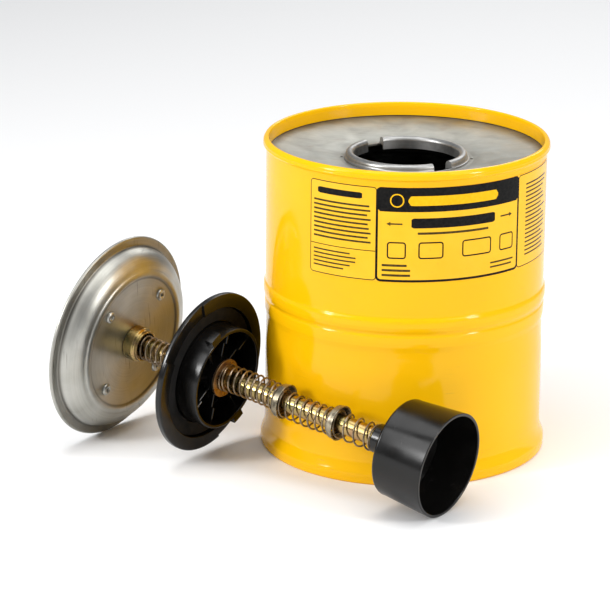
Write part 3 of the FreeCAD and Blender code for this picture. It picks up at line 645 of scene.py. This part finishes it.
def can_label():
    """Printed film: three framed panels, a header band and plain rules, with no lettering."""
    left, divide, band, right = (arc_length(a) for a in (-41.0, -11.6, 51.4, 81.0))
    foot, top = 134.5, 195.4
    under, over = 90.14, 90.36
    section = [(under, foot), (over, foot + 0.05), (over, top - 0.05), (under, top)]
    film = lathe_data(section, 110, math.radians(-131.0), math.radians(122.0))
    piece("label_sheet", film, CAN, "can", label_film(), ["label"])
    face = over + 0.015
    black = [
        strip(rounded_path(left + 0.5, divide + 0.2, foot + 0.6, top - 0.6, 2.2), 0.55, face),
        strip(rounded_path(band - 0.2, right - 0.5, foot + 0.6, top - 0.6, 2.2), 0.55, face),
        strip(rounded_path(divide + 0.6, band - 0.6, foot + 0.8, top - 0.8, 2.6), 1.5, face),
        bar(divide + 1.0, band - 1.0, top - 15.6, top - 1.0, face, 1.6),
        bar(left + 0.6, divide, foot + 19.1, foot + 19.6, face),
        bar(left + 6.0, divide - 9.0, top - 8.6, top - 4.6, face, 0.6),
        bar(divide + 22.0, band - 21.0, top - 26.0, top - 19.6, face, 0.8),
    ]
    pattern = random.Random(7)

    def rules(x0, x1, z0, z1, pitch, thick, ragged):
        """Plain rules that fill a block, with ragged right ends."""
        rows = []
        z = z1
        while z > z0:
            end = x1 - ragged * pattern.random() * (x1 - x0)
            rows.append(bar(x0, end, z - thick, z, face))
            z -= pitch
        return rows

    grey = rules(left + 3.0, divide - 3.0, foot + 23.0, top - 12.5, 2.9, 1.25, 0.10)
    grey += rules(left + 3.0, divide - 12.0, foot + 4.0, foot + 16.5, 2.6, 1.0, 0.35)
    grey += rules(band + 8.0, right - 6.0, foot + 8.0, top - 7.0, 2.7, 1.05, 0.30)
    grey += rules(divide + 4.0, divide + 22.0, foot + 4.0, foot + 11.5, 3.2, 1.5, 0.25)
    grey += rules(band - 24.0, band - 4.0, foot + 4.0, foot + 9.0, 2.8, 1.1, 0.15)
    grey += rules(divide + 26.0, band - 25.0, top - 30.5, top - 28.6, 3.0, 1.5, 0.05)
    boxes = ((divide + 13.0, 11.0), (divide + 34.5, 15.0), (band - 34.0, 20.0), (band - 11.0, 11.0))
    for middle, wide in boxes:
        box = rounded_path(middle - wide / 2, middle + wide / 2, foot + 15.5, foot + 25.5, 1.6)
        black.append(strip(box, 0.9, face))
    level = top - 23.4
    for side, root in ((-1, divide + 12.0), (1, band - 12.0)):
        grey.append(bar(root - 4.5, root + 4.5, level - 0.5, level + 0.5, face))
        tip = root + side * 5.5
        back = tip - side * 2.6
        head = [wrapped(tip, level, face), wrapped(back, level + 1.4, face), wrapped(back, level - 1.4, face)]
        grey.append((head, [(0, 1, 2)] if side < 0 else [(0, 2, 1)], [(0, 0)] * 3))
    over_band = face + 0.012
    plain = bar(divide + 20.0, band - 19.0, top - 11.6, top - 5.4, over_band, 2.4)
    round_mark = strip(rounded_path(divide + 9.0, divide + 17.0, top - 12.4, top - 4.4, 3.9), 0.8, over_band)
    black_ink = ink("black_ink", (0.004, 0.004, 0.004), (0.012, 0.011, 0.010))
    grey_ink = ink("rule_ink", (0.045, 0.032, 0.009), (0.11, 0.072, 0.015))
    yellow_ink = ink("yellow_ink", (0.86, 0.46, 0.006), (0.92, 0.52, 0.012))
    piece("label_frames", join_data(*black), CAN, "can", black_ink)
    piece("label_rules", join_data(*grey), CAN, "can", grey_ink)
    piece("label_name_field", join_data(plain, round_mark), CAN, "can", yellow_ink)


# ---------------------------------------------------------------- the pump

def foot_cup():
    """Moulded bell with its nose; the mouth is thin and slightly rounded."""
    corners = [
        (32.0, 0.0), (34.0, 0.0), (31.4, 34.2), (29.8, 36.75, (31.0, 36.2)), (11.4, 36.8),
        (9.5, 38.9, (10.1, 37.4)), (9.5, 53.2), (8.7, NOSE_TOP), (TUBE_HOLE, NOSE_TOP), (TUBE_HOLE, 34.8),
        (28.9, 34.8),
    ]
    data = lathe_data(outline(corners, 0.55), 192)
    piece("cup_shell", data, PUMP, "foot", PLASTIC, ["foot_cup"])


def pump_tube():
    """Drawn tube with rounded ends."""
    inside, foot, top = 4.4, 28.5, 257.0
    corners = [(inside, foot), (TUBE, foot), (TUBE, top), (inside, top)]
    data = lathe_data(outline(corners, 0.3), 96)
    piece("tube_drawn", data, PUMP, "plunger", BRASS, ["pump_tube"])


def coil(name, radius, foot, top, turns, lean, node, body, material, seed):
    """Wound wire with closed end turns; lean is how far its middle hangs below the tube's axis."""
    wire = 1.25
    steps = int(turns * 40)
    sides = 12
    low, high = foot + wire / 2, top - wire / 2
    pattern = random.Random(seed)
    wobble = [pattern.uniform(-0.12, 0.12) for _ in range(int(turns) + 3)]
    vertices, faces, uvs = [], [], []

    def rise(share):
        """Height along the coil: the first and last turn lie almost flat."""
        end = 0.9 / turns
        tight = wire * 0.95 * 0.9
        if share < end:
            return low + tight * share / end
        if share > 1 - end:
            return high - tight * (1 - share) / end
        middle = (share - end) / (1 - 2 * end)
        return low + tight + (high - low - 2 * tight) * middle

    def spot(share):
        turn = FULL * turns * share
        loose = math.sin(math.pi * share) ** 0.5 if 0 < share < 1 else 0
        number = share * turns
        whole = int(number)
        drift = wobble[whole] + (wobble[whole + 1] - wobble[whole]) * (number - whole)
        across, aside = radius * math.cos(turn) + lean * loose, radius * math.sin(turn)
        return Vector((across, aside, rise(share) + drift * loose))

    for step in range(steps + 1):
        share = step / steps
        here = spot(share)
        ahead = (spot(min(1.0, share + 0.002)) - spot(max(0.0, share - 0.002))).normalized()
        outward = Vector((here.x, here.y, 0)).normalized()
        outward = (outward - ahead * outward.dot(ahead)).normalized()
        across = ahead.cross(outward)
        for side in range(sides):
            angle = FULL * side / sides
            vertices.append(tuple(here + (outward * math.cos(angle) + across * math.sin(angle)) * wire / 2))
    for step in range(steps):
        for side in range(sides):
            after = (side + 1) % sides
            faces.append((
                step * sides + side, step * sides + after,
                (step + 1) * sides + after, (step + 1) * sides + side,
            ))
            uvs += [(side / sides, step * 0.01), (after / sides, step * 0.01)] * 2
    faces += [tuple(reversed(range(sides))), tuple(range(steps * sides, (steps + 1) * sides))]
    uvs += [(0, 0)] * (2 * sides)
    return piece(name, (vertices, faces, uvs), PUMP, body, material, [node])


def squeeze(made):
    """Gives the coil a mesh of its own."""
    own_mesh(made)


def springs():
    """The upper spring under the pan and the three foot springs along the tube."""
    wire = spring_wire()
    seat = SEAT_WASHER[1]
    upper = coil("coil_upper", 7.7, seat, HUB_SEAT, 11.5, 0.6, "upper_spring", "pump_core", wire, 2)
    squeeze(upper)
    foot_springs = (
        ("high", HIGH_WASHER_TOP, COLLAR_WASHER[0], 10.5, -1.5, "pump_core", 3),
        ("middle", LOW_WASHER_TOP, HIGH_WASHER_TOP - WASHER_FACE, 8.5, 1.7, "high_washer", 4),
        ("low", NOSE_TOP, LOW_WASHER_TOP - WASHER_FACE, 5.4, 0.9, "low_washer", 5),
    )
    for name, foot, top, turns, lean, body, seed in foot_springs:
        made = coil("coil_" + name, COIL, foot, top, turns, lean, "spring_" + name, body, wire, seed)
        squeeze(made)


def guide_washers():
    """Two dished washers, rolled at the rim."""
    dull = spring_wire("washer_steel", (0.10, 0.085, 0.06), (0.42, 0.37, 0.27))
    for name, top in (("high", HIGH_WASHER_TOP), ("low", LOW_WASHER_TOP)):
        under, rim = top - WASHER_FACE, top - 5
        corners = [
            (SLIDING_HOLE, under), (9.4, under), (10.55, rim), (11.6, rim), (10.9, top - 1.4),
            (9.9, top, (10.55, top - 0.35)), (SLIDING_HOLE, top),
        ]
        data = lathe_data(outline(corners, 0.4), 96)
        body, node = name + "_washer", "guide_washer_" + name
        piece("dished_washer_" + name, data, PUMP, body, dull, [node])


def lid():
    """Moulded lid: flange, cam sectors, collar with lugs, ribs and hub, all with rounded edges."""
    bore, hub, collar, groove, rim = 8.6, 12.4, 31.3, 44.0, 53.2
    hub_foot, hub_top, web, seal_face = COLLAR_WASHER[1], 196.0, 189.0, 188.0
    body = outline([
        (bore, hub_foot), (hub, hub_foot), (hub, web), (collar, web), (collar, COLLAR_MOUTH + 0.4),
        (31.8, COLLAR_MOUTH), (33.1, COLLAR_MOUTH), (33.6, COLLAR_MOUTH + 0.4), (33.6, seal_face),
        (groove, seal_face), (groove, 185.2), (52.3, 185.2), (rim, 186.1, (52.95, 185.45)),
        (rim, 187.0), (52.3, 188.6, (53.0, 187.9)), (30.0, 191.2, (43.3, 190.2)), (16.0, 191.8),
        (12.5, hub_top, (13.4, 194.0)), (bore, hub_top),
    ], 0.5)
    groups = [lathe_data(body, 224)]
    cam = outline([
        (groove, LID_SEAT), (52.2, LID_SEAT), (rim, 184.9, (52.9, 184.3)), (rim, 186.4), (groove, 186.4),
    ], 0.4)
    lug_root, lug_tip, lug_top = 33.1, 38.0, 176.6
    lug = outline([
        (lug_root, COLLAR_MOUTH), (lug_tip, COLLAR_MOUTH), (lug_tip, lug_top), (lug_root, lug_top),
    ], 0.5)
    for half in (0, 180):
        groups.append(lathe_data(cam, 96, math.radians(162.0 + half), math.radians(130.0)))
        groups.append(lathe_data(lug, 12, math.radians(144.5 + half), math.radians(14.0)))
    tall = rounded_box(19.2, 1.5, 10.8, 0.72)
    thick = rounded_box(9.4, 1.9, 12.6, 0.9)
    flip = Matrix.Rotation(math.pi, 4, "X")
    for number in range(8):
        turn = Matrix.Rotation(math.radians(8.0 + 45 * number), 4, "Z")
        for box, reach in ((tall, 12.2), (thick, 22.0)):
            groups.append(moved(box, turn @ Matrix.Translation((reach, 0, web + 0.2)) @ flip))
    piece("lid_moulding", join_data(*groups), PUMP, "lid", PLASTIC, ["lid"])


def ring(name, inside, outside, foot, top, node, body, slot, material, fillet=0.2):
    """A plain washer with softened edges."""
    corners = [(inside, foot), (outside, foot), (outside, top), (inside, top)]
    piece(name, lathe_data(outline(corners, fillet), 96), PUMP, body, material, [node])


def dasher():
    """Spun pan, its tubular rivets and the plated hub under it."""
    topside = PAN_UNDERSIDE + 1
    pan = outline([
        (TUBE_HOLE, PAN_UNDERSIDE), (43.6, PAN_UNDERSIDE), (46.6, 247.3, (45.0, 247.6)),
        (49.5, 248.3, (48.0, 247.5)), (60.9, 258.3, (56.0, 251.2)), (61.7, 260.9), (62.6, 261.35),
        (66.3, 261.3), (67.75, 262.5, (67.4, 261.6)), (66.7, 263.65, (67.45, 263.4)), (65.7, 262.4),
        (61.2, 262.3), (60.2, 259.2), (49.3, 249.4, (55.4, 252.2)), (46.6, 248.35, (48.0, 248.6)),
        (43.8, topside), (TUBE_HOLE, topside),
    ], 0.4, 10)
    steel = spun_steel()
    piece("pan_spun", lathe_data(pan, 256), PUMP, "plunger", steel, ["dasher_pan"], 50)
    rivet = outline([
        (1.3, 247.2), (2.1, 246.95), (3.9, 248.05, (3.35, 247.2)), (4.0, PAN_UNDERSIDE), (1.7, PAN_UNDERSIDE),
        (1.7, 255.6), (3.0, 255.6), (2.9, 256.2), (0.0, 256.35), (0.0, 249.2), (1.2, 249.0),
    ], 0.2)
    circle, first = 36.4, 42.0
    heads = []
    for number in range(4):
        turn = Matrix.Rotation(math.radians(first + 90 * number), 4, "Z")
        heads.append(moved(lathe_data(rivet, 40), turn @ Matrix.Translation((circle, 0, 0))))
    piece("tubular_rivets", join_data(*heads), PUMP, "plunger", steel, ["pan_rivets"])
    lip, top = 238.0, PAN_UNDERSIDE - 0.1
    hub = outline([
        (TUBE_HOLE, HUB_SEAT), (9.0, HUB_SEAT), (9.0, lip), (10.2, lip), (10.2, 240.3), (11.5, 241.5),
        (11.5, top), (TUBE_HOLE, top),
    ], 0.35)
    piece("hub_plated", lathe_data(hub, 96), PUMP, "plunger", GOLD, ["hub_ferrule"])


def carry_over(materials):
    """Procedural finishes on the CAD nodes that are shown as they are."""
    for name, material in materials.items():
        node = frame["nodes"][name]
        node.data.materials.clear()
        node.data.materials.append(material)


make_camera()
make_studio()
PLASTIC = black_plastic()
BRASS = yellow_zinc("drawn_brass", 0.02)
GOLD = yellow_zinc("yellow_zinc")
STEEL = bare_steel()
can_shell()
can_label()
foot_cup()
pump_tube()
springs()
guide_washers()
lid()
ring("collar_washer", SLIDING_HOLE, 12.7, *COLLAR_WASHER, "lid_washer", "pump_core", "brass",
     spring_wire("tan_brass", (0.30, 0.17, 0.08), (0.50, 0.33, 0.17)))
ring("gasket_ring", 34.6, 43.3, 186.3, 188.0, "lid_gasket", "lid", "seal_rubber", seal_rubber(), 0.3)
ring("seat_ring", SLIDING_HOLE, 10.6, *SEAT_WASHER, "seat_washer", "pump_core", "brass", GOLD)
dasher()
carry_over({
    "bottom_plate": bare_steel("base_steel"),
    "top_plate": top_steel(),
    "neck_ring": bare_steel("neck_steel", (0.20, 0.20, 0.19), (0.40, 0.40, 0.39)),
    "pump_piston": PLASTIC,
    "check_ball": bare_steel("ball_steel", (0.5, 0.5, 0.5), (0.7, 0.7, 0.7)),
    "ball_stop_pin": STEEL,
    "lid_bush": GOLD,
    "nut_washer": GOLD,
    "outlet_nut": GOLD,
    "pan_spacers": STEEL,
    "dasher_screen": bare_steel("screen_steel", (0.36, 0.355, 0.34), (0.58, 0.575, 0.56)),
})
